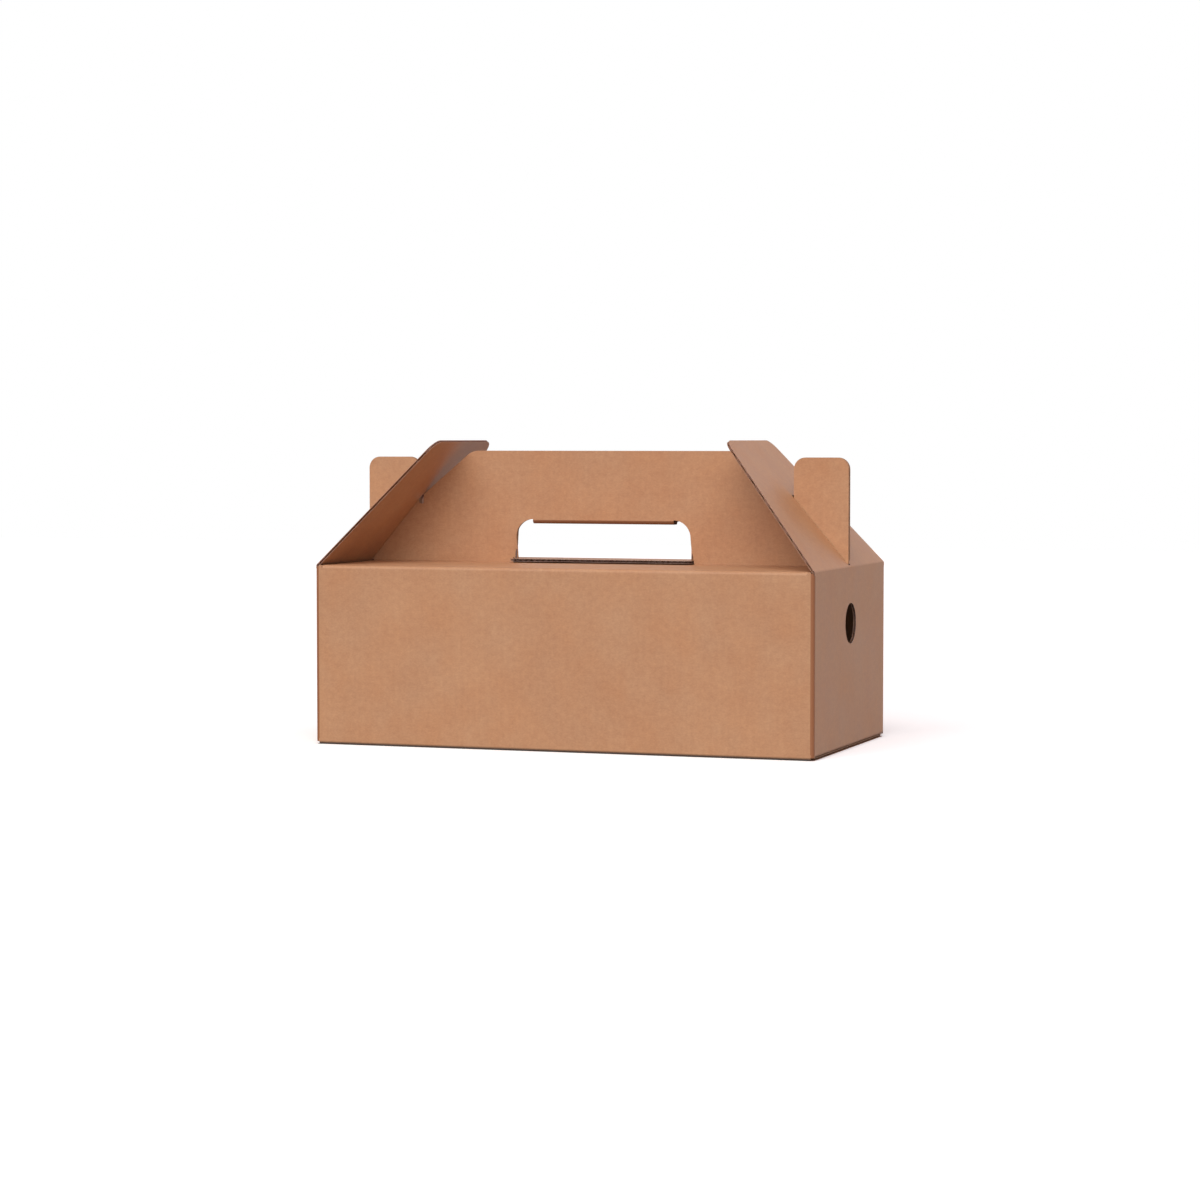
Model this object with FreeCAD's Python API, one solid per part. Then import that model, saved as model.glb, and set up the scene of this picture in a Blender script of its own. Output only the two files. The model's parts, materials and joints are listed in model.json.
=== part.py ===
import FreeCAD, Part
import math
import os

# Carry box folded from one sheet of fine-fluted kraft board, in millimetres.
# X runs along the box, Y from front to rear and Z up. The origin is on the
# table, under the middle of the box. Angles are in degrees.

# The walls
box_length = 288.0
box_width = 150.0
wall_height = 100.0
board = 1.5
fold_inner_radius = 0.4
glue_tab_width = 30.0
glue_tab_inset = 6.0
glued_corner_setback = 0.4
glue_overlap = 0.05
corner_toe = 1.8
corner_peak = 1.1
corner_slit = 0.15

# The bottom: two long flaps that meet in the middle, glued under two short ones
bottom_seam = 0.6
long_flap_inset = 0.3
short_flap_inset = 2.5
short_flap_length = 60.0

# The lid panels, one on the other
lid_layer_gap = 0.5

# The carrying handle: one ply from each lid panel, back to back. Each rise is
# measured up from the top of the walls.
ply_gap = 0.4
handle_rise = 63.5
handle_top_setback = 8.8
handle_corner_radius = 10.0
handle_foot_rise = 1.0

# The hand hole, the lip along its foot and the tongues folded back at its top
hole_half_length = 52.0
hole_rise = 24.7
hole_corner_radius = 10.0
lip_reach = 6.5
lip_overhang = 1.5
lip_gap = 0.5
tongue_gap = 0.5
tongue_drop = 0.6
tongue_lean = 75.0
tongue_length = 14.5
tongue_tip_half_length = 50.0
tongue_shoulder = 3.0
tongue_corner_radius = 2.0

# The sloping end flaps
flap_lean = 49.7
flap_length = 91.0
flap_base_inset = 1.2
flap_top_half_width = 42.0
flap_corner_radius = 10.0
flap_rest_gap = 0.3
crease_gap = 0.3
slot_start = 1.2
slot_side_gap = 0.5
slot_end_gap = 1.6

# The ears at the ends of the handle, which stand through the flaps' slots
ear_inset = 1.0
ear_width = 31.2
ear_rise = 60.0
ear_corner_radius = 6.5
slit_width = 2.7
slit_depth = 2.2
slit_corner_radius = 1.0
ear_bend_gap = 0.3

# The round finger hole in each end wall, its middle below the top of the wall
finger_hole_radius = 11.25
finger_hole_drop = 31.0

# Worked out from the sizes above
half_length = box_length / 2
half_width = box_width / 2
fold_radius = fold_inner_radius + board / 2
fold_outer_radius = fold_inner_radius + board
ply_middle = (ply_gap + board) / 2
rear_lid_rise = board + lid_layer_gap
lip_half_length = hole_half_length + lip_overhang
hole_top = wall_height + hole_rise
hinge_half_length = hole_half_length - hole_corner_radius
tongue_step = board + tongue_gap
flap_base_half_width = half_width - flap_base_inset
ear_outer = half_length - ear_inset
ear_inner = ear_outer - ear_width
slit_inner = ear_inner - slit_width
cos_lean = math.cos(math.radians(flap_lean))
sin_lean = math.sin(math.radians(flap_lean))
slot_end = (half_length - ear_inner) / cos_lean + slot_end_gap
slot_half_width = ply_gap / 2 + board + slot_side_gap
flap_depth = board + flap_rest_gap
lid_half_length = half_length - (rear_lid_rise * cos_lean + flap_depth) / sin_lean
cutter_reach = box_length


def on_section(u, v, w):
    # A section across the box, drawn as (y, z), with w along X.
    return FreeCAD.Vector(w, u, v)


def on_elevation(u, v, w):
    # A view of the front, drawn as (x, z), with w along Y.
    return FreeCAD.Vector(u, w, v)


def on_plan(u, v, w):
    # A view from above, drawn as (x, y), with w along Z.
    return FreeCAD.Vector(u, v, w)


def on_right_flap(u, v, w):
    # The right end flap's outer face, drawn as (up the slope, y), with w into
    # the board. Its origin is on the crease.
    x = half_length - u * cos_lean - w * sin_lean
    return FreeCAD.Vector(x, v, wall_height + u * sin_lean - w * cos_lean)


def prism(edges, place, low, high):
    solid = Part.Face(Part.Wire(edges)).extrude(place(0, 0, high) - place(0, 0, low))
    if solid.Volume < 0:
        solid.reverse()
    return solid


def unit(u, v):
    size = math.hypot(u, v)
    return u / size, v / size


def rounded_panel(corners, place, low, high):
    # A panel whose outline turns at each (u, v, radius) corner.
    edges, first, last = [], None, None
    for i, (u, v, radius) in enumerate(corners):
        back = unit(corners[i - 1][0] - u, corners[i - 1][1] - v)
        after = corners[(i + 1) % len(corners)]
        ahead = unit(after[0] - u, after[1] - v)
        half_angle = math.acos(back[0] * ahead[0] + back[1] * ahead[1]) / 2
        cut = radius / math.tan(half_angle)
        start = place(u + back[0] * cut, v + back[1] * cut, low)
        end = place(u + ahead[0] * cut, v + ahead[1] * cut, low)
        if last:
            edges.append(Part.LineSegment(last, start).toShape())
        if radius:
            inwards = unit(back[0] + ahead[0], back[1] + ahead[1])
            reach = radius / math.sin(half_angle) - radius
            middle = place(u + inwards[0] * reach, v + inwards[1] * reach, low)
            edges.append(Part.Arc(start, middle, end).toShape())
        first, last = first or start, end
    edges.append(Part.LineSegment(last, first).toShape())
    return prism(edges, place, low, high)


def panel(points, place, low, high):
    return rounded_panel([(u, v, 0) for u, v in points], place, low, high)


def block(u_range, v_range, place, low, high):
    (u0, u1), (v0, v1) = u_range, v_range
    return panel([(u0, v0), (u1, v0), (u1, v1), (u0, v1)], place, low, high)


def join(solids):
    return solids[0].multiFuse(solids[1:]).removeSplitter()


def turned(solid):
    # The same solid at the other end, or on the other side, of the box.
    other = solid.copy()
    other.rotate(FreeCAD.Vector(0, 0, 0), FreeCAD.Vector(0, 0, 1), 180)
    return other


class BoardRun:
    # Follows a strip of board, seen edge on, along the middle of its thickness
    # and through its folds, and keeps a solid for each stretch.

    def __init__(self, u, v, heading, place):
        self.u, self.v, self.heading, self.place = u, v, heading, place
        self.solids = []

    def branch(self):
        return BoardRun(self.u, self.v, self.heading, self.place)

    def straight(self, length, low, high):
        angle = math.radians(self.heading)
        du, dv = math.cos(angle), math.sin(angle)
        side_u, side_v = dv * board / 2, -du * board / 2
        u, v = self.u + du * length, self.v + dv * length
        points = [
            (self.u + side_u, self.v + side_v),
            (u + side_u, v + side_v),
            (u - side_u, v - side_v),
            (self.u - side_u, self.v - side_v),
        ]
        self.solids.append(panel(points, self.place, low, high))
        self.u, self.v = u, v
        return self

    def fold(self, turn, low, high):
        # A positive turn folds to the left of the way the run is going.
        start = self.heading - math.copysign(90, turn)
        centre_u = self.u - fold_radius * math.cos(math.radians(start))
        centre_v = self.v - fold_radius * math.sin(math.radians(start))

        def around(radius, angle):
            u = centre_u + radius * math.cos(math.radians(angle))
            v = centre_v + radius * math.sin(math.radians(angle))
            return self.place(u, v, low)

        def arc(radius, first, last):
            points = [around(radius, a) for a in (first, (first + last) / 2, last)]
            return Part.Arc(*points).toShape()

        def across(angle, first, last):
            return Part.LineSegment(around(first, angle), around(last, angle)).toShape()

        end = start + turn
        inner, outer = fold_inner_radius, fold_outer_radius
        edges = [arc(outer, start, end), across(end, outer, inner)]
        edges += [arc(inner, end, start), across(start, inner, outer)]
        self.solids.append(prism(edges, self.place, low, high))
        self.heading += turn
        self.u = centre_u + fold_radius * math.cos(math.radians(end))
        self.v = centre_v + fold_radius * math.sin(math.radians(end))
        return self


def make_walls():
    # From the free edge of the left end wall, round the box, to the glue tab,
    # which sinks into that wall a little so that the two fuse. The corners run
    # on past the walls' folds, almost to the cuts between the flaps, and so do
    # the ends of the long walls beside the lid panels.
    low, high = board + fold_outer_radius, wall_height - fold_outer_radius
    corner, beside_lid = (low - corner_toe, high + corner_peak), (low, high + corner_peak)
    free_edge = fold_outer_radius - glued_corner_setback
    folds = 2 * fold_outer_radius
    end = half_length - fold_outer_radius - lid_half_length - corner_slit
    run = BoardRun(board / 2 - half_length, half_width - glued_corner_setback, -90, on_plan)
    run.straight(free_edge, *corner)
    run.straight(box_width - folds, low, high).fold(90, *corner)
    run.straight(end, *beside_lid).straight(box_length - folds - 2 * end, low, high)
    run.straight(end, *beside_lid).fold(90, *corner)
    run.straight(box_width - folds, low, high).fold(90, *corner).straight(end, *beside_lid)
    run.straight(box_length - folds - end - board + glue_overlap, low, high).fold(90, low, high)
    run.straight(glue_tab_width, low + glue_tab_inset, high - glue_tab_inset)
    return run.solids


def make_long_bottom_flap():
    half = half_length - long_flap_inset
    corner = half_length - fold_outer_radius
    run = BoardRun(-bottom_seam / 2, board / 2, 180, on_section)
    run.straight(half_width - fold_outer_radius - bottom_seam / 2, -half, half)
    run.fold(-90, -corner, corner)
    return run.straight(board, -corner, corner).solids


def make_short_bottom_flap():
    half = half_width - short_flap_inset
    run = BoardRun(half_length - board / 2, board + fold_outer_radius, -90, on_elevation)
    run.fold(-90, -half, half).straight(short_flap_length, -half, half)
    return run.solids


def make_end_wall_top():
    # The strip up to the end flap's crease, where the board is mitred so that
    # the flap can lean in.
    mitre = math.tan(math.radians((90 - flap_lean) / 2))
    gap = crease_gap / 2 * math.hypot(1, mitre)
    top = wall_height - gap
    inside = half_length - board
    points = [
        (inside, wall_height - fold_outer_radius),
        (half_length, wall_height - fold_outer_radius),
        (half_length, top),
        (inside, top - mitre * board),
    ]
    return panel(points, on_elevation, -flap_base_half_width, flap_base_half_width)


def make_lid(rise):
    # A lid panel from its wall's top fold to the foot of its handle ply. It
    # climbs by rise on the way. Returns the solids and the height of the foot.
    half = lid_half_length
    across = half_width - board / 2 - ply_middle
    climb = math.degrees(math.asin(rise / (across - 2 * fold_radius)))
    sin_climb, cos_climb = math.sin(math.radians(climb)), math.cos(math.radians(climb))
    flat = (across - 2 * fold_radius * (1 - sin_climb)) / cos_climb
    wall_middle = board / 2 - half_width
    run = BoardRun(wall_middle, wall_height - fold_outer_radius, 90, on_section)
    run.fold(climb - 90, -half, half).straight(flat, -half, half)

    lip = run.branch()
    lip_length = fold_radius + ply_middle + ply_gap / 2 + board + lip_reach
    lip.straight(lip_length, -lip_half_length, lip_half_length)

    slit = lip_half_length + lip_gap
    left = run.branch().fold(90 - climb, -half, -slit)
    right = run.branch().fold(90 - climb, slit, half)
    return run.solids + lip.solids + left.solids + right.solids, right.v


def diagonal_height(x):
    # The height just under the end flap, where the handle's end edge starts.
    return wall_height + ((half_length - x) * sin_lean - flap_depth) / cos_lean


def diagonal_x(height):
    return half_length - ((height - wall_height) * cos_lean + flap_depth) / sin_lean


def make_ply(foot, y_low):
    # One ply of the handle with both its ears. A slit parts each ear from the
    # sloping edge, down to just below the end flap. From there the edge draws
    # back from the flap on its way to the top.
    handle_top = wall_height + handle_rise
    ear_top = wall_height + ear_rise
    slit_bottom = diagonal_height(ear_inner) - slit_depth
    right = [
        (lid_half_length, foot, 0),
        (ear_outer, foot + handle_foot_rise, 0),
        (ear_outer, ear_top, ear_corner_radius),
        (ear_inner, ear_top, ear_corner_radius),
        (ear_inner, slit_bottom, slit_corner_radius),
        (slit_inner, slit_bottom, slit_corner_radius),
        (slit_inner, diagonal_height(slit_inner), 0),
        (diagonal_x(handle_top) - handle_top_setback, handle_top, handle_corner_radius),
    ]
    left = [(-x, z, radius) for x, z, radius in reversed(right)]
    return rounded_panel(right + left, on_elevation, y_low, y_low + board)


def cut_hand_hole(ply, foot, top):
    half, low = hole_half_length, foot - board
    corners = [(-half, low, 0), (half, low, 0)]
    corners += [(half, top, hole_corner_radius), (-half, top, hole_corner_radius)]
    notch_half = lip_half_length + lip_gap
    notch_top = wall_height + rear_lid_rise + 2 * lip_gap
    hole = rounded_panel(corners, on_elevation, -half_width, half_width)
    sides = (-notch_half, notch_half)
    notch = block(sides, (low, notch_top), on_elevation, -half_width, half_width)
    return ply.cut(hole.fuse(notch))


def make_tongue(run, used):
    # The free part of a tongue, which widens past its hinge like the hole that
    # it was cut from. The run has reached the start of it.
    angle = math.radians(run.heading)
    cos_angle, sin_angle = math.cos(angle), math.sin(angle)

    def on_tongue(u, v, w):
        y = run.u + v * cos_angle + w * sin_angle
        return FreeCAD.Vector(u, y, run.v + v * sin_angle - w * cos_angle)

    tip, end = tongue_tip_half_length, tongue_length - used
    corners = [(hinge_half_length, 0, 0), (tip, tongue_shoulder, 0), (tip, end, tongue_corner_radius)]
    corners += [(-x, v, radius) for x, v, radius in reversed(corners)]
    return rounded_panel(corners, on_tongue, -board / 2, board / 2)


def make_tongues():
    # The front ply's tongue passes under the rear ply's, and both lean up
    # behind the handle.
    half = hinge_half_length
    lean = math.radians(tongue_lean)
    rear = BoardRun(ply_middle, hole_top + tongue_step, -90, on_section)
    rear.straight(tongue_drop, -half, half).fold(90 + tongue_lean, -half, half)
    rear_used = tongue_drop + fold_radius * (math.pi / 2 + lean)

    level = 2 * ply_middle + tongue_step * math.tan(lean / 2)
    front = BoardRun(-ply_middle, hole_top, -90, on_section)
    front.straight(tongue_drop, -half, half).fold(90, -half, half)
    front.straight(level, -half, half).fold(tongue_lean, -half, half)
    tips = [make_tongue(rear, rear_used), make_tongue(front, rear_used + level)]
    return rear.solids + front.solids + tips


def make_ear_cutter():
    # Everything outside the right end flap.
    slope = (-cutter_reach, cutter_reach)
    across = (-half_width, half_width)
    return block(slope, across, on_right_flap, -cutter_reach, -ear_bend_gap)


def make_finger_holes():
    start = FreeCAD.Vector(-half_length - board, 0, wall_height - finger_hole_drop)
    along = FreeCAD.Vector(1, 0, 0)
    return Part.makeCylinder(finger_hole_radius, box_length + 2 * board, start, along)


def make_end_flap():
    mitre = math.tan(math.radians((90 - flap_lean) / 2))
    root = crease_gap / 2 * math.hypot(1, mitre)
    base, top = flap_base_half_width, flap_top_half_width
    corners = [(root, -base, 0), (flap_length, -top, flap_corner_radius)]
    corners += [(flap_length, top, flap_corner_radius), (root, base, 0)]
    flap = rounded_panel(corners, on_right_flap, 0, board)

    def on_flap_edge(u, v, w):
        return on_right_flap(u, w, v)

    wedge = [(root, 0), (root + mitre * board, board), (root, board)]
    flap = flap.cut(panel(wedge, on_flap_edge, -half_width, half_width))
    sides = (-slot_half_width, slot_half_width)
    return flap.cut(block((slot_start, slot_end), sides, on_right_flap, -board, 2 * board))


def make_parts():
    front_lid, front_foot = make_lid(0)
    rear_lid, rear_foot = make_lid(rear_lid_rise)
    rear_hole_top = hole_top + tongue_step
    front_ply = cut_hand_hole(make_ply(front_foot, -ply_gap / 2 - board), front_foot, hole_top)
    rear_ply = cut_hand_hole(make_ply(rear_foot, ply_gap / 2), rear_foot, rear_hole_top)

    right = make_ear_cutter()
    left = turned(right)
    halves = make_long_bottom_flap() + make_short_bottom_flap() + [make_end_wall_top()]
    solids = make_walls() + halves + [turned(s) for s in halves + rear_lid] + front_lid
    solids += [ply.cut(right).cut(left) for ply in (front_ply, rear_ply)]
    solids += make_tongues()
    end_flap = make_end_flap()
    return {
        "folded_box": join(solids).cut(make_finger_holes()),
        "right_end_flap": end_flap,
        "left_end_flap": turned(end_flap),
        "right_front_ear": front_ply.common(right),
        "right_rear_ear": rear_ply.common(right),
        "left_front_ear": front_ply.common(left),
        "left_rear_ear": rear_ply.common(left),
    }


os.makedirs("parts", exist_ok=True)
for name, shape in make_parts().items():
    if len(shape.Solids) != 1 or not shape.isValid():
        raise ValueError(f"{name} has {len(shape.Solids)} solids, valid: {shape.isValid()}")
    solid = shape.Solids[0]
    solid.exportStep(f"parts/{name}.step")
    print(f"{name}: {solid.Volume:.1f} mm3")
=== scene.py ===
import json
import math

import bmesh
import bpy
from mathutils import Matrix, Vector
from mathutils.bvhtree import BVHTree


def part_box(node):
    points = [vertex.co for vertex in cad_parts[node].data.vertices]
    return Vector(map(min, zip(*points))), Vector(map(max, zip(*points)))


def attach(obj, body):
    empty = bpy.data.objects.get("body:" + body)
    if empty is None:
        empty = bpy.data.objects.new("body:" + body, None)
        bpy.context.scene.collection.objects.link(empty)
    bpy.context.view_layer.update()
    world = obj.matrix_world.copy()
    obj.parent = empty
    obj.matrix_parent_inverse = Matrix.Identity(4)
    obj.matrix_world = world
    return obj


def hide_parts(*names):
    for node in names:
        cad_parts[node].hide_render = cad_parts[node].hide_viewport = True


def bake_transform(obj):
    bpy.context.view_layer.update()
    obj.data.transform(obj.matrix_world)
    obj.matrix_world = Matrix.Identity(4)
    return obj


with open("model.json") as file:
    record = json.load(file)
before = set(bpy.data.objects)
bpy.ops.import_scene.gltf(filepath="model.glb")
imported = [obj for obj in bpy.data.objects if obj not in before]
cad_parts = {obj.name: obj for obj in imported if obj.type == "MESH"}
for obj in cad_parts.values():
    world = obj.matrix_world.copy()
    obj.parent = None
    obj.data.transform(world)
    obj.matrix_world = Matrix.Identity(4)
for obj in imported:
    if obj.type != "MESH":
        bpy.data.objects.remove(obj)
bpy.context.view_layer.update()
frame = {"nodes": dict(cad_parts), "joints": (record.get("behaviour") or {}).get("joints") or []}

mm = 0.001
print("frame loaded:", sorted(frame["nodes"]))

rounding = 1e-9  # error in a sum of lengths
weld = 1e-7      # points this near each other are one
slack = 1e-6     # a point this far off a line still counts as on it

# Sizes that come from the frame
rightHinge = next(joint for joint in frame["joints"] if joint["name"] == "right_flap_hinge")
halfLength, _, wallTop = rightHinge["pos_m"]
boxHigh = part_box("folded_box")[1]
halfWidth, handleTop = boxHigh[1], boxHigh[2]
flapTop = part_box("right_end_flap")[1][2]
earLow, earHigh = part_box("right_front_ear")
earInner, earOuter, earTop = earLow[0], earHigh[0], earHigh[2]

# The board: two liners with a fluted layer between them
board = {
    "thick": 1.5 * mm,
    "liner": 0.22 * mm,
    "foldInner": 0.4 * mm,    # radius inside a fold
    "foldRows": 8,
    "foldMargin": 0.25 * mm,  # a last row this far outside it
    "arcLeast": 4,            # fewest segments in a rounded corner
    "arcSteps": 1.4,          # segments for each mm of its radius
    "sharpAngle": 40,         # degrees
    "flutePitch": 3.4 * mm,
    "fluteSwing": 0.42 * mm,
    "fluteSheet": 0.22 * mm,
    "fluteRecess": 0.25 * mm,
    "fluteDepth": 1.2 * mm,   # how far in the fluting is modelled
    "fluteStep": 0.34 * mm,   # between its points along an edge
}
thick = board["thick"]
foldRadius = board["foldInner"] + thick / 2
foldOuter = board["foldInner"] + thick
linerSlot, cutSlot, fluteSlot = 0, 1, 2
uAxis, sAxis = 0, 1


def foldedRun(start, heading, innerSide, steps):
    # Follows a strip of board seen edge on. A step is (length, 0) where it is
    # flat, or (0, turn in degrees) for a fold, which is as long as its arc.
    # Gives place(), where each fold starts and ends, and the whole length.
    p, q = start
    angle, along, stretches = math.radians(heading), 0, []
    for length, turn in steps:
        turn = math.radians(turn)
        bend = math.copysign(1 / foldRadius, turn) if turn else 0
        length = foldRadius * abs(turn) if turn else length
        stretches.append((along, length, p, q, angle, bend))
        if bend:
            p += (math.sin(angle + turn) - math.sin(angle)) / bend
            q -= (math.cos(angle + turn) - math.cos(angle)) / bend
        else:
            p += length * math.cos(angle)
            q += length * math.sin(angle)
        angle += turn
        along += length

    def place(distance, depth):
        # Where a point of the strip goes; depth is measured from its outer face.
        reached = [stretch for stretch in stretches if stretch[0] <= distance + rounding]
        begin, length, p, q, angle, bend = reached[-1] if reached else stretches[0]
        t = distance - begin
        if bend:
            turned = angle + min(t, length) * bend
            p += (math.sin(turned) - math.sin(angle)) / bend
            q -= (math.cos(turned) - math.cos(angle)) / bend
            angle = turned
        else:
            p += t * math.cos(angle)
            q += t * math.sin(angle)
        inwards = (depth - thick / 2) * innerSide
        return p - inwards * math.sin(angle), q + inwards * math.cos(angle)

    folds = [(begin, begin + length) for begin, length, _, _, _, bend in stretches if bend]
    return place, folds, along


def onFold(fold, distance):
    return fold[0] - slack <= distance <= fold[1] + slack


box = {
    "seamHalf": 0.3 * mm,       # half the gap between the long flaps of the bottom
    "longInset": 0.3 * mm,      # from the box's ends to those flaps
    "shortInset": 2.5 * mm,     # from the box's sides to the short flaps
    "shortLength": 60.0 * mm,
    "flapRadius": 2.0 * mm,
    "tabWidth": 30.0 * mm,
    "tabInset": 6.0 * mm,
    "tabSlope": 4.0 * mm,
    "tabRadius": 2.0 * mm,
    "freeEdge": 0.4 * mm,       # from the rear face to the sheet's free edge
    "cornerToe": 1.8 * mm,      # how far a corner's fold runs past the wall's foot,
    "cornerPeak": 1.1 * mm,     # past its top,
    "cornerCap": 1.9 * mm,      # and past it beside the lid panel
    "capSlope": 0.6 * mm,
    "cornerSlit": 0.15 * mm,    # between a corner and the panels beside it
    "cornerSpare": 0.05 * mm,   # the corner starts this far into its slit
    "layerGap": 0.5 * mm,       # between the lid panels
    "plyGap": 0.4 * mm,         # between the handle's plies
    "topSetback": 8.8 * mm,     # from the end flaps' slope to the handle's shoulder
    "handleRadius": 10.0 * mm,
    "footRise": 1.0 * mm,       # the ear's foot above the handle's fold
    "holeHalf": 52.0 * mm,
    "holeTop": 24.7 * mm,       # above the walls' top
    "holeRadius": 10.0 * mm,
    "lipReach": 6.5 * mm,
    "lipHalf": 53.5 * mm,
    "lipGap": 0.5 * mm,
    "lipZone": 15.0 * mm,       # sheet past the lid panel that can be lip
    "earRadius": 6.5 * mm,
    "slitWidth": 2.7 * mm,
    "slitDepth": 2.2 * mm,
    "slitRadius": 1.0 * mm,
    "fingerRadius": 11.25 * mm,
    "fingerDrop": 31.0 * mm,    # below the walls' top
    "footScore": 0.45,          # how strongly the folds at the handle's foot show: scored board with painted shade
    "shadeRise": 0.42,          # part of the walls' foot fold where the painted shade grows bit by bit
    "paleEnd": 0.5 * mm,        # how far in the long flaps' ends are marked for painted light
}
flap = {
    "lean": 49.7,               # degrees above level
    "baseHalf": 73.8 * mm,
    "topHalf": 42.0 * mm,
    "cornerRadius": 10.0 * mm,
    "slotStart": 1.2 * mm,      # up the slope
    "slotHalf": 2.2 * mm,
    "slotSpare": 1.6 * mm,      # slot beyond the ear
    "slotRadius": 0.6 * mm,
    "restGap": 0.3 * mm,        # to what lies under the flap
    "creaseScore": 0.1,         # how strongly the crease shows
    "blendReach": 2.2 * mm,     # from the start of the crease to where it has turned
    "blendRows": 5,             # rows past the crease, for a smooth turn
    "blendStep": 0.4 * mm,
    "fluteSwing": 0.33 * mm,
    "fluteSheet": 0.4 * mm,
    "fluteRecess": 0.06 * mm,
}
sinLean = math.sin(math.radians(flap["lean"]))
cosLean = math.cos(math.radians(flap["lean"]))
plyMiddle = (box["plyGap"] + thick) / 2
rearRise = thick + box["layerGap"]
wallLow = thick + foldOuter
wallHigh = wallTop - foldOuter
wallRun = wallHigh - wallLow
lidHalf = halfLength - (rearRise * cosLean + thick + flap["restGap"]) / sinLean
foldLength = foldRadius * math.pi / 2
print("board thickness", thick, "wall run", round(wallRun, 4))

# The blank, laid flat: u runs round the box, s up it from the foot of the walls
cornerToEnd = foldLength + halfWidth - foldOuter
longHalf = halfLength - foldOuter
quarter = longHalf + cornerToEnd
toeEdge = quarter - halfWidth + box["shortInset"] - box["cornerSlit"]
peakEdge = quarter - flap["baseHalf"] - box["cornerSlit"]
leftMiddle, frontMiddle, rightMiddle, rearMiddle = -quarter, 0, quarter, 2 * quarter


def sideProfile(rise):
    # A long side seen from its end: bottom flap, wall, lid panel and handle ply.
    across = halfWidth - thick / 2 - plyMiddle
    climb = math.asin(rise / (across - 2 * foldRadius))
    flat = (across - 2 * foldRadius * (1 - math.sin(climb))) / math.cos(climb)
    bottom = halfWidth - foldOuter - box["seamHalf"]
    turn = 90 - math.degrees(climb)
    below = bottom + foldLength + thick
    start = (-box["seamHalf"], thick / 2)
    steps = [(bottom, 0), (0, -90), (thick + wallRun, 0), (0, -turn), (flat, 0)]
    lip, _, lidEnd = foldedRun(start, 180, -1, steps)
    ply, folds, foot = foldedRun(start, 180, -1, steps + [(0, turn), (handleTop, 0)])
    foot -= handleTop
    footHeight = ply(foot, thick / 2)[1]
    return {
        "ply": lambda s, depth: ply(s + below, depth),
        "lip": lambda s, depth: lip(s + below, depth),
        "folds": [(low - below, high - below) for low, high in folds],
        "bottom": -below,
        "lidEnd": lidEnd - below,
        "foot": foot - below,
        "atHeight": lambda z: foot - below + z - footHeight,
    }


front, rear = sideProfile(0), sideProfile(rearRise)
shortStart = (halfLength - foldOuter - box["shortLength"], thick + thick / 2)
shortSteps = [(box["shortLength"], 0), (0, 90), (wallRun, 0)]
shortRun, _, _ = foldedRun(shortStart, 0, 1, shortSteps)
shortBelow = box["shortLength"] + foldLength


def longSideAt(u):
    return (rear, rearMiddle) if u > rightMiddle else (front, frontMiddle)


def diagonalHeight(x):
    # The slope just inside the end flaps, as its height at x.
    return wallTop + ((halfLength - x) * sinLean - thick - flap["restGap"]) / cosLean


def diagonalX(z):
    # The same slope, as its x at a height.
    return halfLength - ((z - wallTop) * cosLean + thick + flap["restGap"]) / sinLean


def holeTopOn(side):
    return side["atHeight"](wallTop + box["holeTop"] + (rearRise if side is rear else 0))


def longSideOutline(side):
    # From the top of the wall's corner past the lid panel's end, the ear, the
    # handle and the hand hole to the lip's middle, as (u, s, corner radius).
    up, slitInner = side["atHeight"], earInner - box["slitWidth"]
    slitBottom = diagonalHeight(earInner) - box["slitDepth"]
    holeTop = holeTopOn(side)
    notch = box["lipHalf"] + box["lipGap"]
    notchTop = up(wallTop + rearRise + 2 * box["lipGap"])
    lipEnd = side["lidEnd"] + foldRadius + plyMiddle + box["plyGap"] / 2 + thick + box["lipReach"]
    return [
        (peakEdge, wallRun, 0),
        (peakEdge, wallRun + box["cornerPeak"], 0),
        (longHalf, wallRun + box["cornerPeak"], 0),
        (longHalf - box["capSlope"], wallRun + box["cornerCap"], 0),
        (lidHalf + box["cornerSlit"], wallRun + box["cornerCap"], 0),
        (lidHalf + box["cornerSlit"], wallRun, 0),
        (lidHalf, wallRun, 0),
        (lidHalf, side["foot"], 0),
        (earOuter, side["foot"] + box["footRise"], 0),
        (earOuter, up(earTop), box["earRadius"]),
        (earInner, up(earTop), box["earRadius"]),
        (earInner, up(slitBottom), box["slitRadius"]),
        (slitInner, up(slitBottom), box["slitRadius"]),
        (slitInner, up(diagonalHeight(slitInner)), 0),
        (diagonalX(handleTop) - box["topSetback"], up(handleTop), box["handleRadius"]),
        (0, up(handleTop), 0),
        (0, holeTop, 0),
        (box["holeHalf"], holeTop, box["holeRadius"]),
        (box["holeHalf"], notchTop, 0),
        (notch, notchTop, 0),
        (notch, side["lidEnd"], 0),
        (box["lipHalf"], side["lidEnd"], 0),
        (box["lipHalf"], lipEnd, 0),
        (0, lipEnd, 0),
    ]


def longFlapOutline(side):
    # Half a long flap of the bottom, its fold and the wall's toe.
    flapHalf = halfLength - box["longInset"]
    foldTop = side["folds"][0][0]
    slit, toe = longHalf + box["cornerSlit"], -box["cornerToe"]
    return [
        (0, side["bottom"], 0),
        (flapHalf, side["bottom"], box["flapRadius"]),
        (flapHalf, foldTop, 0),
        (longHalf, foldTop, 0),
        (longHalf, -thick, 0),
        (slit, -thick, 0),
        (slit, toe, 0),
        (toeEdge, toe, 0),
        (toeEdge, 0, 0),
    ]


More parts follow.
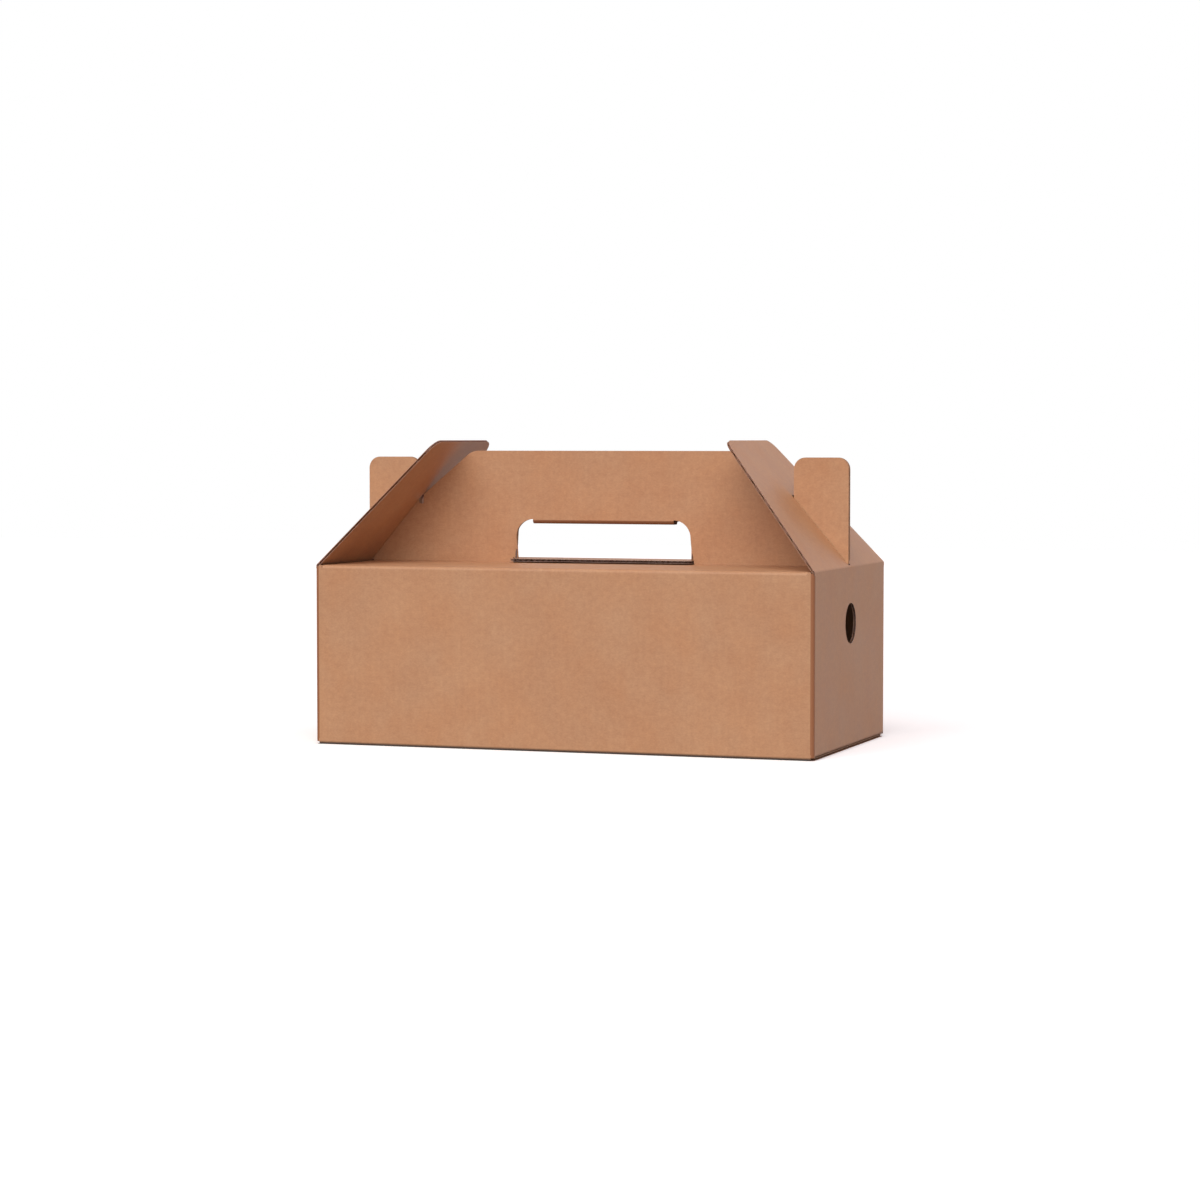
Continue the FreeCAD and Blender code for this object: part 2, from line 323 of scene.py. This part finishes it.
def endWallOutline(start):
    # Adds half an end wall with half of its bottom flap and finger hole; u
    # starts from the middle of the long wall.
    radius, middle = box["fingerRadius"], wallTop - box["fingerDrop"] - wallLow
    flapSide = quarter - halfWidth + box["shortInset"]
    return start + [
        (flapSide, 0, 0),
        (flapSide, -shortBelow, box["flapRadius"]),
        (quarter, -shortBelow, 0),
        (quarter, middle - radius, 0),
        (quarter - radius, middle - radius, radius),
        (quarter - radius, middle + radius, radius),
        (quarter, middle + radius, 0),
        (quarter, wallRun, 0),
    ]


def tabOutline():
    # The glue tab, from the foot of the rear wall's last fold to its top.
    wallEnd = longHalf - thick
    tabStart = wallEnd + foldLength
    tabEnd = tabStart + box["tabWidth"]
    low, high = box["tabInset"], wallRun - box["tabInset"]
    slope, radius = box["tabSlope"], box["tabRadius"]
    return [
        (wallEnd, 0, 0),
        (tabStart, 0, 0),
        (tabStart, low, 0),
        (tabEnd, low + slope, radius),
        (tabEnd, high - slope, radius),
        (tabStart, high, 0),
        (tabStart, wallRun, 0),
    ]


def addPanel(sheet, outline, middle, sign):
    # One flat face of the blank; sign -1 mirrors the outline.
    corners = [sheet.verts.new((middle + sign * u, s, 0)) for u, s, radius in outline]
    sheet.faces.new(corners if sign > 0 else corners[::-1])
    for i, (u, s, radius) in enumerate(outline):
        if not radius:
            continue
        here = Vector((u, s))
        back = Vector(outline[i - 1][:2]) - here
        ahead = Vector(outline[(i + 1) % len(outline)][:2]) - here
        bmesh.ops.bevel(
            sheet, geom=[corners[i]], affect="VERTICES", profile=0.5, material=-1,
            offset=radius / math.tan(back.angle(ahead) / 2), offset_type="OFFSET",
            segments=max(board["arcLeast"], round(radius / mm * board["arcSteps"])),
        )


def joinPanels(sheet):
    bmesh.ops.remove_doubles(sheet, verts=sheet.verts[:], dist=weld)


def cutAcross(sheet, axis, places):
    for place in places:
        point, normal = Vector((0, 0, 0)), Vector((0, 0, 0))
        point[axis], normal[axis] = place, 1
        everything = sheet.verts[:] + sheet.edges[:] + sheet.faces[:]
        bmesh.ops.bisect_plane(sheet, geom=everything, dist=weld, plane_co=point, plane_no=normal)


def foldPlaces(folds):
    # Rows through each fold, and one just outside it on each side.
    margin, rows = board["foldMargin"], board["foldRows"]
    places = []
    for low, high in folds:
        places += [low - margin, high + margin]
        places += [low + (high - low) * i / rows for i in range(rows + 1)]
    return places


def layer(sheet, low, high):
    # One closed layer of the board between two depths, still flat.
    bm = sheet.copy()
    for face in bm.faces:
        face.normal_update()
    grown = bmesh.ops.extrude_face_region(bm, geom=bm.faces[:], use_keep_orig=True)
    raised = [v for v in grown["geom"] if isinstance(v, bmesh.types.BMVert)]
    bmesh.ops.translate(bm, verts=raised, vec=(0, 0, high - low))
    bmesh.ops.translate(bm, verts=bm.verts[:], vec=(0, 0, low))
    bmesh.ops.recalc_face_normals(bm, faces=bm.faces[:])
    for face in bm.faces:
        face.normal_update()
        upright = abs(face.normal.z) < 0.5  # a raw edge of the sheet
        face.material_index = cutSlot if upright else linerSlot
    return bm


def fluting(sheet, cut):
    # The wavy layer, which shows only along the raw edges. The cut says how
    # far back it starts there, how far it swings and how thick its paper is.
    bm = sheet.copy()
    byCuts = {}
    for edge in bm.edges:
        cuts = int(abs(edge.verts[0].co.x - edge.verts[1].co.x) / board["fluteStep"])
        if edge.is_boundary and cuts:
            byCuts.setdefault(cuts, []).append(edge)
    for cuts, edges in byCuts.items():
        bmesh.ops.subdivide_edges(bm, edges=edges, cuts=cuts)
    recess, depth = cut["fluteRecess"], board["fluteDepth"]
    rim = bmesh.ops.inset_region(bm, faces=bm.faces[:], thickness=recess, use_boundary=True)
    bmesh.ops.delete(bm, geom=rim["faces"], context="FACES")
    inner = bm.faces[:]
    bmesh.ops.inset_region(bm, faces=inner, thickness=depth, use_boundary=True)
    bmesh.ops.delete(bm, geom=inner, context="FACES")
    # The inset crosses itself at a few corners, and leaves the sheet there.
    blank = BVHTree.FromBMesh(sheet)
    strays = [v for v in bm.verts if blank.find_nearest(v.co)[3] > slack]
    bmesh.ops.delete(bm, geom=strays, context="VERTS")
    for vert in bm.verts:
        wave = math.cos(2 * math.pi * vert.co.x / board["flutePitch"])
        vert.co.z = thick / 2 + cut["fluteSwing"] * wave
    bmesh.ops.solidify(bm, geom=bm.faces[:], thickness=cut["fluteSheet"])
    bmesh.ops.recalc_face_normals(bm, faces=bm.faces[:])
    for face in bm.faces:
        face.material_index = fluteSlot
    return bm


def boardObject(name, sheet, place, creased, shaded, finishes, cut=board):
    # A finished piece. Its three layers are made flat and marked with their
    # flat coordinates, scored folds with painted shade, and painted shading; then they are folded.
    liner = board["liner"]
    whole = bmesh.new()
    for bm in (layer(sheet, 0, liner), layer(sheet, thick - liner, thick), fluting(sheet, cut)):
        uv = bm.loops.layers.uv.new("sheet")
        for face in bm.faces:
            for loop in face.loops:
                loop[uv].uv = loop.vert.co.xy
        crease = bm.verts.layers.float.new("crease")
        shade = bm.verts.layers.float.new("shade")
        for vert in bm.verts:
            vert[crease] = creased(vert.co.x, vert.co.y)
            vert[shade] = shaded(vert.co.x, vert.co.y)
            vert.co = place(vert.co.x, vert.co.y, vert.co.z)
        bmesh.ops.recalc_face_normals(bm, faces=bm.faces[:])
        openEdges = [edge for edge in bm.edges if not edge.is_manifold]
        if openEdges:
            print(name, "open edges", len(openEdges))
        part = bpy.data.meshes.new("part")
        bm.to_mesh(part)
        whole.from_mesh(part)
        bpy.data.meshes.remove(part)
        bm.free()
    mesh = bpy.data.meshes.new(name)
    whole.to_mesh(mesh)
    whole.free()
    for material in finishes:
        mesh.materials.append(material)
    mesh.polygons.foreach_set("use_smooth", [True] * len(mesh.polygons))
    mesh.set_sharp_from_angle(angle=math.radians(board["sharpAngle"]))
    piece = bpy.data.objects.new(name, mesh)
    bpy.context.collection.objects.link(piece)
    print(name, "faces", len(mesh.polygons))
    return piece


def unshaded(u, s):
    return 0


# Folding the blank into the box. The girth runs round the walls, from the free
# edge in the left end wall to the glue tab.
freeEdge = halfWidth - box["freeEdge"]
girthSteps = [
    (freeEdge + halfWidth - foldOuter, 0), (0, 90),
    (2 * longHalf, 0), (0, 90),
    (2 * (halfWidth - foldOuter), 0), (0, 90),
    (2 * longHalf - thick, 0), (0, 90),
    (box["tabWidth"], 0),
]
girthRun, girthFolds, _ = foldedRun((thick / 2 - halfLength, freeEdge), -90, 1, girthSteps)
girthStart = frontMiddle - longHalf - foldLength - girthSteps[0][0]
girthFolds = [(low + girthStart, high + girthStart) for low, high in girthFolds]


def onCorner(u, s):
    # The corner strips run past the walls' folds at the foot and at the top.
    fromEnd = quarter - min(abs(u - leftMiddle), abs(u - rightMiddle))
    spare = box["cornerSpare"]
    if s < 0:
        return s > -box["cornerToe"] - slack and longHalf + spare < fromEnd < toeEdge + spare
    onPeak = wallRun < s < wallRun + box["cornerCap"] + slack
    return onPeak and lidHalf + spare < fromEnd < peakEdge + spare


def placeOnBox(u, s, depth):
    if onCorner(u, s):
        x, y = girthRun(u - girthStart, depth)
        return Vector((x, y, wallLow + s))
    side, middle = longSideAt(u)
    fromMiddle = abs(u - middle)
    if s < -weld and fromMiddle >= halfLength:
        x, z = shortRun(s + shortBelow, depth)
        sign = 1 if u > 0 else -1
        y = sign * (u - (rightMiddle if u > 0 else leftMiddle))
        return Vector((sign * x, y, z))
    pastLid = side["lidEnd"] < s < side["lidEnd"] + box["lipZone"]
    onLip = pastLid and fromMiddle < box["lipHalf"] + box["lipGap"] / 2
    outwards, z = side["lip" if onLip else "ply"](s, depth)
    if -weld <= s <= wallRun + weld:
        x, y = girthRun(u - girthStart, outwards + halfWidth)
        return Vector((x, y, z))
    if side is rear:
        return Vector((middle - u, -outwards, z))
    return Vector((u - middle, outwards, z))


def creasedOnBox(u, s):
    # The walls' corners are marked fully, the handle's foot a little: scored folds, darkened
    # further as painted shade.
    onWall = -slack <= s <= wallRun + slack or onCorner(u, s)
    if onWall and any(onFold(fold, u) for fold in girthFolds):
        return 1
    side, middle = longSideAt(u)
    onSide = abs(u - middle) < longHalf + slack
    return box["footScore"] if onSide and onFold(side["folds"][2], s) else 0


def shadeOnBox(u, s):
    # Painted shade: the foot of a long side is painted darker as it turns under.
    # Painted light: the ends of the bottom's long flaps are marked too, so that their raw edges
    # are painted paler.
    side, middle = longSideAt(u)
    low, high = side["folds"][0]
    fromMiddle = abs(u - middle)
    if s < low - slack:
        flapHalf = halfLength - box["longInset"]
        return 1 if flapHalf - box["paleEnd"] < fromMiddle < halfLength else 0
    if s < high and fromMiddle < longHalf + slack:
        return min(1, (high - s) / (high - low) / box["shadeRise"])
    return 0


def boxBlank():
    sheet = bmesh.new()
    for side, middle, sign in (
        (front, frontMiddle, 1), (front, frontMiddle, -1), (rear, rearMiddle, -1),
    ):
        outline = endWallOutline(longFlapOutline(side)) + longSideOutline(side)
        addPanel(sheet, outline, middle, sign)
    # The rear wall's last half carries the glue tab in place of an end wall.
    rearLong = longFlapOutline(rear)[:3] + [(longHalf - thick, rear["folds"][0][0], 0)]
    addPanel(sheet, rearLong + tabOutline() + longSideOutline(rear)[4:], rearMiddle, 1)
    # The left end wall's rear half ends in the free edge over the tab.
    freeSide = quarter - halfWidth + box["freeEdge"]
    toe, peak = -box["cornerToe"], wallRun + box["cornerPeak"]
    freeCorner = [
        (peakEdge, wallRun, 0), (peakEdge, peak, 0), (freeSide, peak, 0),
        (freeSide, toe, 0), (toeEdge, toe, 0), (toeEdge, 0, 0),
    ]
    addPanel(sheet, endWallOutline(freeCorner), 2 * leftMiddle, 1)
    joinPanels(sheet)
    cutAcross(sheet, uAxis, foldPlaces(girthFolds))
    levels = foldPlaces(front["folds"] + rear["folds"] + [(-foldLength, 0)])
    cutAcross(sheet, sAxis, levels + [wallRun])
    # Rows that all but meet leave near doubles.
    bmesh.ops.remove_doubles(sheet, verts=sheet.verts[:], dist=slack)
    return sheet


# The end flaps, each from the top of its end wall over the crease
flapSpread = (flapTop - wallTop) / sinLean
creaseTurn = 90 - flap["lean"]
creaseCut = foldOuter * math.tan(math.radians(creaseTurn / 2))
flapSteps = [(wallTop - creaseCut - wallHigh, 0), (0, creaseTurn), (flapSpread - creaseCut, 0)]
flapRun, flapFolds, flapEnd = foldedRun((halfLength - thick / 2, wallHigh), 90, 1, flapSteps)
flapCrease = flapFolds[0]


def flapBlank(middle):
    onSlope = flapCrease[1] - creaseCut  # distances up the slope start from here
    slotEnd = onSlope + (halfLength - earInner) / cosLean + flap["slotSpare"]
    outline = [
        (0, 0, 0),
        (flap["baseHalf"], 0, 0),
        (flap["baseHalf"], flapCrease[1], 0),
        (flap["topHalf"], flapEnd, flap["cornerRadius"]),
        (0, flapEnd, 0),
        (0, slotEnd, 0),
        (flap["slotHalf"], slotEnd, flap["slotRadius"]),
        (flap["slotHalf"], onSlope + flap["slotStart"], 0),
        (0, onSlope + flap["slotStart"], 0),
    ]
    outline = [(u, s + wallRun, radius) for u, s, radius in outline]
    sheet = bmesh.new()
    for sign in (1, -1):
        addPanel(sheet, outline, middle, sign)
    joinPanels(sheet)
    low, high = (edge + wallRun for edge in flapCrease)
    beyond = [high + i * flap["blendStep"] for i in range(1, flap["blendRows"] + 1)]
    cutAcross(sheet, sAxis, foldPlaces([(low, high)]) + beyond)
    return sheet


def placeOnFlap(end):
    middle = rightMiddle if end > 0 else leftMiddle

    def place(u, s, depth):
        x, z = flapRun(s - wallRun, depth)
        return Vector((end * x, end * (u - middle), z))

    return place


def creasePoint(end, beyond):
    # A point on the board's middle, a distance beyond the fold's start.
    x, z = flapRun(flapCrease[0] + beyond, thick / 2)
    return end * x, 0, z


def creasedOnFlap(u, s):
    crease = [edge + wallRun for edge in flapCrease]
    return flap["creaseScore"] if onFold(crease, s) else 0


# The tongues folded back at the top of the hand hole
tongue = {
    "gap": 0.5 * mm,            # between the two
    "drop": 0.6 * mm,           # from the hole's top to the fold
    "lean": 75.0,               # degrees above level
    "length": 14.5 * mm,
    "tipHalf": 50.0 * mm,       # half its length at the free end
    "shoulder": 3.0 * mm,
    "radius": 2.0 * mm,
    "shade": 0.25,              # how dark its folds are painted, as painted shade
}


def tongueBlank(foldEnd, middle, top):
    hinge = box["holeHalf"] - box["holeRadius"]
    outline = [
        (0, 0, 0),
        (hinge, 0, 0),
        (hinge, foldEnd, 0),
        (tongue["tipHalf"], foldEnd + tongue["shoulder"], 0),
        (tongue["tipHalf"], tongue["length"], tongue["radius"]),
        (0, tongue["length"], 0),
    ]
    outline = [(u, top - s, radius) for u, s, radius in outline]
    sheet = bmesh.new()
    for sign in (1, -1):
        addPanel(sheet, outline, middle, sign)
    joinPanels(sheet)
    return sheet


def tongueObject(name, side, middle, start, steps):
    run, folds, _ = foldedRun(start, -90, 1, steps)
    top = holeTopOn(side)
    sheet = tongueBlank(folds[-1][1], middle, top)
    cutAcross(sheet, sAxis, [top - far for far in foldPlaces(folds) if far > 0])
    turned = 1 if side is front else -1

    def place(u, s, depth):
        y, z = run(top - s, depth)
        return Vector((turned * (u - middle), y, z))

    def creased(u, s):
        return 1 if any(onFold(fold, top - s) for fold in folds) else 0

    # Painted shade on the tongue's folds
    def shaded(u, s):
        return tongue["shade"] * creased(u, s)

    piece = boardObject(name, sheet, place, creased, shaded, boxFinishes)
    sheet.free()
    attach(piece, "box")


# The kraft finish, from the sheet's own flat coordinates in metres
paper = {
    "fibre": {"scale": 1100, "detail": 3, "roughness": 0.6, "stretch": (0.7, 1, 1)},
    "coarse": {"scale": 330, "detail": 4, "roughness": 0.6, "stretch": (0.85, 1, 1)},
    "cloud": {"scale": 45, "detail": 3, "roughness": 0.55, "stretch": (1, 1, 1)},
    "patch": {"scale": 12, "detail": 2, "roughness": 0.5, "stretch": (1.4, 0.8, 1)},
    "hue": {"scale": 27, "detail": 3, "roughness": 0.6, "stretch": (1.2, 0.9, 1)},
    "ribTone": 0.05,               # flute lines in the colour
    "blushGain": 5,
    "fibreRelief": 0.25,
    "ribRelief": 0.5,
    "roughGain": 0.2,
    "bumpDepth": 0.08 * mm,
    "glow": (1.0, 0.76, 0.48, 1),  # painted light: the colour of a faint glow of the board, which is no lamp
}


def setOrLink(group, value, socket):
    if isinstance(value, bpy.types.NodeSocket):
        group.links.new(value, socket)
    else:
        socket.default_value = value


def socketGroup(name, inputs, outputs):
    group = bpy.data.node_groups.new(name, "ShaderNodeTree")
    for way, labels in (("INPUT", inputs), ("OUTPUT", outputs)):
        for label in labels:
            group.interface.new_socket(label, in_out=way, socket_type="NodeSocketFloat")
    return group, group.nodes.new("NodeGroupInput"), group.nodes.new("NodeGroupOutput")


def srgb(red, green, blue):
    def linear(c):
        c /= 255
        return c / 12.92 if c <= 0.04045 else ((c + 0.055) / 1.055) ** 2.4

    return linear(red), linear(green), linear(blue), 1


def mathNode(group, operation, a, b=0, clamp=False):
    node = group.nodes.new("ShaderNodeMath")
    node.operation, node.use_clamp = operation, clamp
    setOrLink(group, a, node.inputs[0])
    setOrLink(group, b, node.inputs[1])
    return node.outputs[0]


def mixNode(group, blend, a, b, factor):
    node = group.nodes.new("ShaderNodeMix")
    node.data_type, node.blend_type = "RGBA", blend
    for label, value in (("A", a), ("B", b), ("Factor", factor)):
        setOrLink(group, value, node.inputs[label])
    return node.outputs["Result"]


def markNode(group, name):
    # A mark that boardObject wrote on the mesh.
    node = group.nodes.new("ShaderNodeAttribute")
    node.attribute_name = name
    return node.outputs["Fac"]


def noiseNode(group, vector, scale, detail, roughness, stretch):
    mapping = group.nodes.new("ShaderNodeMapping")
    mapping.inputs["Scale"].default_value = stretch
    group.links.new(vector, mapping.inputs["Vector"])
    noise = group.nodes.new("ShaderNodeTexNoise")
    noise.inputs["Scale"].default_value = scale
    noise.inputs["Detail"].default_value = detail
    noise.inputs["Roughness"].default_value = roughness
    group.links.new(mapping.outputs[0], noise.inputs["Vector"])
    return noise.outputs["Fac"]


def buildPaperGroup():
    # Tone, reddening and relief of kraft paper over flutes.
    group, given, out = socketGroup(
        "kraftPaper", ("Fibre", "Mottle", "Washboard"), ("Tone", "Blush", "Relief"),
    )
    uv = group.nodes.new("ShaderNodeUVMap")
    uv.uv_map = "sheet"
    flat = uv.outputs[0]
    kinds = ("fibre", "coarse", "cloud", "patch", "hue")
    fibre, coarse, cloud, patch, hue = [noiseNode(group, flat, **paper[kind]) for kind in kinds]

    def calc(*terms):
        return mathNode(group, *terms)

    def swing(a, b, amount):
        # Two noises together, moved to either side of zero.
        return calc("MULTIPLY", calc("SUBTRACT", calc("ADD", a, b), 1.0), given.outputs[amount])

    parts = group.nodes.new("ShaderNodeSeparateXYZ")
    group.links.new(flat, parts.inputs[0])
    turns = calc("MULTIPLY", parts.outputs["X"], 2 * math.pi / board["flutePitch"])
    ribs = calc("MULTIPLY", calc("COSINE", turns), given.outputs["Washboard"])
    fine = swing(fibre, coarse, "Fibre")
    broad = swing(cloud, patch, "Mottle")
    tone = calc("ADD", calc("ADD", fine, broad), calc("MULTIPLY", ribs, paper["ribTone"]))
    blush = calc("MULTIPLY", calc("SUBTRACT", hue, 0.5), given.outputs["Mottle"])
    blush = calc("ADD", calc("MULTIPLY", blush, paper["blushGain"]), 0.5, True)
    fibreRelief = calc("MULTIPLY", fine, paper["fibreRelief"])
    relief = calc("ADD", fibreRelief, calc("MULTIPLY", ribs, paper["ribRelief"]))
    for label, value in (("Tone", tone), ("Blush", blush), ("Relief", relief)):
        group.links.new(value, out.inputs[label])
    return group


paperGroup = buildPaperGroup()


def kraftMaterial(name, finish):
    material = bpy.data.materials.new(name)
    material.use_nodes = True
    tree = material.node_tree
    shader = tree.nodes["Principled BSDF"]
    kraft = tree.nodes.new("ShaderNodeGroup")
    kraft.node_tree = paperGroup
    for label in ("Fibre", "Mottle", "Washboard"):
        kraft.inputs[label].default_value = finish[label.lower()]
    tone = kraft.outputs["Tone"]

    lightness = mathNode(tree, "ADD", tone, 0.5, True)
    colour = mixNode(tree, "MIX", finish["dark"], finish["light"], lightness)
    colour = mixNode(tree, "MULTIPLY", colour, finish["blush"], kraft.outputs["Blush"])
    # The crease mark darkens folds: scored board with painted shade. The painted shading mark then
    # turns the colour darker or paler.
    score = mathNode(tree, "MULTIPLY", markNode(tree, "crease"), finish["score"])
    colour = mixNode(tree, "MIX", colour, finish["scored"], score)
    colour = mixNode(tree, "MIX", colour, finish["shade"], markNode(tree, "shade"))
    tree.links.new(colour, shader.inputs["Base Color"])

    rough = mathNode(tree, "MULTIPLY", tone, paper["roughGain"])
    rough = mathNode(tree, "ADD", rough, finish["rough"], True)
    tree.links.new(rough, shader.inputs["Roughness"])
    shader.inputs["Specular IOR Level"].default_value = finish["gloss"]
    # Painted light: the board glows faintly, though it is no lamp.
    shader.inputs["Emission Color"].default_value = paper["glow"]
    shader.inputs["Emission Strength"].default_value = finish["glow"]

    bump = tree.nodes.new("ShaderNodeBump")
    bump.inputs["Strength"].default_value = finish["bump"]
    bump.inputs["Distance"].default_value = paper["bumpDepth"]
    tree.links.new(kraft.outputs["Relief"], bump.inputs["Height"])
    tree.links.new(bump.outputs[0], shader.inputs["Normal"])
    return material


linerFinish = {
    "dark": srgb(171, 122, 86),
    "light": srgb(199, 154, 116),
    "blush": (1.0, 0.92, 0.84, 1),
    # Folds: scored board, darkened further as painted shade
    "scored": srgb(142, 86, 46),
    "score": 1,
    # Painted shade colour for the walls' foot fold and the tongues' folds
    "shade": srgb(60, 42, 30),
    "fibre": 0.9,
    "mottle": 0.6,
    "washboard": 0.4,
    "rough": 0.6,
    "gloss": 0.67,
    "bump": 0.3,
    # Painted light: how strongly the liners glow
    "glow": 0.0055,
}
cutFinish = linerFinish | {
    "dark": srgb(124, 101, 95),
    "light": srgb(164, 142, 134),
    "blush": (1, 1, 1, 1),
    "score": 0,
    "shade": srgb(236, 196, 166),  # painted light: raw edges turn paler where they are marked
    "fibre": 1.4,
    "mottle": 0.5,
    "washboard": 0,
    "rough": 0.9,
    "gloss": 0.2,
    "bump": 0.5,
    "glow": 0,
}
flutingFinish = cutFinish | {
    "dark": srgb(88, 68, 62),
    "light": srgb(124, 102, 94),
    "fibre": 1.2,
    "rough": 0.95,
    "gloss": 0.15,
    "bump": 0.4,
}
# Painted light: the flaps' raw edges are lighter copies of the box's.
flapCutLitFinish = cutFinish | {"dark": srgb(154, 116, 100), "light": srgb(192, 154, 136)}
flapFlutingLitFinish = flutingFinish | {"dark": srgb(130, 94, 78), "light": srgb(166, 128, 110)}

# Each in the order of linerSlot, cutSlot and fluteSlot
kraftLiner = kraftMaterial("kraftLiner", linerFinish)
boxFinishes = [
    kraftLiner,
    kraftMaterial("cutEdge", cutFinish),
    kraftMaterial("flutedLayer", flutingFinish),
]
flapFinishes = [
    kraftLiner,
    kraftMaterial("flapCutEdge", flapCutLitFinish),
    kraftMaterial("flapFlutedLayer", flapFlutingLitFinish),
]
print("finishes made")

# The pieces
boxSheet = boxBlank()
carryBox = boardObject("carryBox", boxSheet, placeOnBox, creasedOnBox, shadeOnBox, boxFinishes)
boxSheet.free()
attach(carryBox, "box")
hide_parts("folded_box", "left_front_ear", "left_rear_ear", "right_front_ear", "right_rear_ear")

# The rear tongue folds up behind its own ply. The front one runs back under
# both plies and stands up behind the rear one.
tongueStep = thick + tongue["gap"]
holeTopZ = wallTop + box["holeTop"]
level = 2 * plyMiddle + tongueStep * math.tan(math.radians(tongue["lean"] / 2))
drop = (tongue["drop"], 0)
frontSteps = [drop, (0, 90), (level, 0), (0, tongue["lean"]), (tongue["length"], 0)]
tongueObject("frontTongue", front, frontMiddle, (-plyMiddle, holeTopZ), frontSteps)
rearSteps = [drop, (0, 90 + tongue["lean"]), (tongue["length"], 0)]
tongueObject("rearTongue", rear, rearMiddle, (plyMiddle, holeTopZ + tongueStep), rearSteps)

for name, end in (("left", -1), ("right", 1)):
    flapSheet = flapBlank(rightMiddle if end > 0 else leftMiddle)
    piece = boardObject(
        name + "EndFlap", flapSheet, placeOnFlap(end), creasedOnFlap, unshaded, flapFinishes, flap,
    )
    flapSheet.free()
    creasePoint(end, 0)
    creasePoint(end, flap["blendReach"])
    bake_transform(piece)
    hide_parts(name + "_end_flap")
print("pieces built")

# Floor, light and camera
studio = {
    "floor": 3.0,                 # half its width
    "floorTone": (0.35, 0.35, 0.35, 1), # what lights the box
    "floorSeen": (0.85, 0.85, 0.85, 1), # what the camera sees
    "floorGlow": 0.42,
    "contactReach": 4 * mm,       # of the dark line under the box
    "ambient": (0.26, 0.16, 0.13, 1),
    "backdrop": (1, 1, 1, 1),
    "keyPower": 2.64,
    "keySpread": 60,
    "keyFrom": (0.05, -0.75, 0.68),
    "keyColour": (1.0, 1.0, 1.0),
    "fillPower": 0.34,
    "fillSpread": 40,
    "fillFrom": (0.4, 0.7, 0.8),
    "fillColour": (0.42, 0.56, 1.0),
}
camera = {
    "at": (580.9 * mm, -1654.4 * mm, 170.8 * mm),
    "yaw": 19.415,
    "pitch": 2.988,
    "lens": 93.2,
    "sensor": 36,
    "near": 0.05,
    "far": 20,
}


def whiteToCamera(tree, seen, unseen):
    # The shader seen for camera, glossy and transmission rays, and unseen for all others.
    path = tree.nodes.new("ShaderNodeLightPath")
    rays = mathNode(tree, "MAXIMUM", path.outputs["Is Camera Ray"], path.outputs["Is Glossy Ray"])
    rays = mathNode(tree, "MAXIMUM", rays, path.outputs["Is Transmission Ray"])
    mix = tree.nodes.new("ShaderNodeMixShader")
    tree.links.new(rays, mix.inputs["Fac"])
    tree.links.new(unseen, mix.inputs[1])
    tree.links.new(seen, mix.inputs[2])
    return mix.outputs[0]


def buildWorld():
    world = bpy.data.worlds.new("studioWorld")
    bpy.context.scene.world = world
    world.use_nodes = True
    tree = world.node_tree
    ambient, backdrop = tree.nodes["Background"], tree.nodes.new("ShaderNodeBackground")
    for light, colour in ((ambient, "ambient"), (backdrop, "backdrop")):
        light.inputs["Color"].default_value = studio[colour]
        light.inputs["Strength"].default_value = 1
    both = whiteToCamera(tree, backdrop.outputs[0], ambient.outputs[0])
    tree.links.new(both, tree.nodes["World Output"].inputs["Surface"])


def buildFloor():
    bm = bmesh.new()
    bmesh.ops.create_grid(bm, x_segments=1, y_segments=1, size=studio["floor"])
    mesh = bpy.data.meshes.new("floor")
    bm.to_mesh(mesh)
    bm.free()
    material = bpy.data.materials.new("paleFloor")
    material.use_nodes = True
    tree = material.node_tree
    shader = tree.nodes["Principled BSDF"]
    paler = tree.nodes.new("ShaderNodeBsdfPrincipled")
    for surface, tone in ((shader, "floorTone"), (paler, "floorSeen")):
        surface.inputs["Base Color"].default_value = studio[tone]
        surface.inputs["Roughness"].default_value = 1
        surface.inputs["Specular IOR Level"].default_value = 0
    # The camera sees the floor glow to white, except close under the box.
    glow = tree.nodes.new("ShaderNodeEmission")
    contact = tree.nodes.new("ShaderNodeAmbientOcclusion")
    contact.inputs["Distance"].default_value = studio["contactReach"]
    strength = mathNode(tree, "MULTIPLY", contact.outputs["AO"], studio["floorGlow"])
    tree.links.new(strength, glow.inputs["Strength"])
    glowing = tree.nodes.new("ShaderNodeAddShader")
    tree.links.new(paler.outputs[0], glowing.inputs[0])
    tree.links.new(glow.outputs[0], glowing.inputs[1])
    both = whiteToCamera(tree, glowing.outputs[0], shader.outputs[0])
    tree.links.new(both, tree.nodes["Material Output"].inputs["Surface"])
    mesh.materials.append(material)
    floor = bpy.data.objects.new("floor", mesh)
    bpy.context.collection.objects.link(floor)


def softSun(name):
    light = bpy.data.lights.new(name, "SUN")
    light.energy, light.angle = studio[name + "Power"], math.radians(studio[name + "Spread"])
    light.color = studio[name + "Colour"]
    lamp = bpy.data.objects.new(name, light)
    lamp.location = studio[name + "From"]
    lamp.rotation_euler = (-Vector(studio[name + "From"])).to_track_quat("-Z", "Y").to_euler()
    bpy.context.collection.objects.link(lamp)


def buildCamera():
    data = bpy.data.cameras.new("camera")
    data.lens, data.sensor_width = camera["lens"], camera["sensor"]
    data.clip_start, data.clip_end = camera["near"], camera["far"]
    viewer = bpy.data.objects.new("camera", data)
    viewer.location = camera["at"]
    viewer.rotation_euler = (math.radians(90 - camera["pitch"]), 0, math.radians(camera["yaw"]))
    bpy.context.collection.objects.link(viewer)
    bpy.context.scene.camera = viewer


bpy.context.scene.view_settings.view_transform = "Standard"
buildWorld()
buildFloor()
softSun("key")
softSun("fill")
buildCamera()
print("stage set")
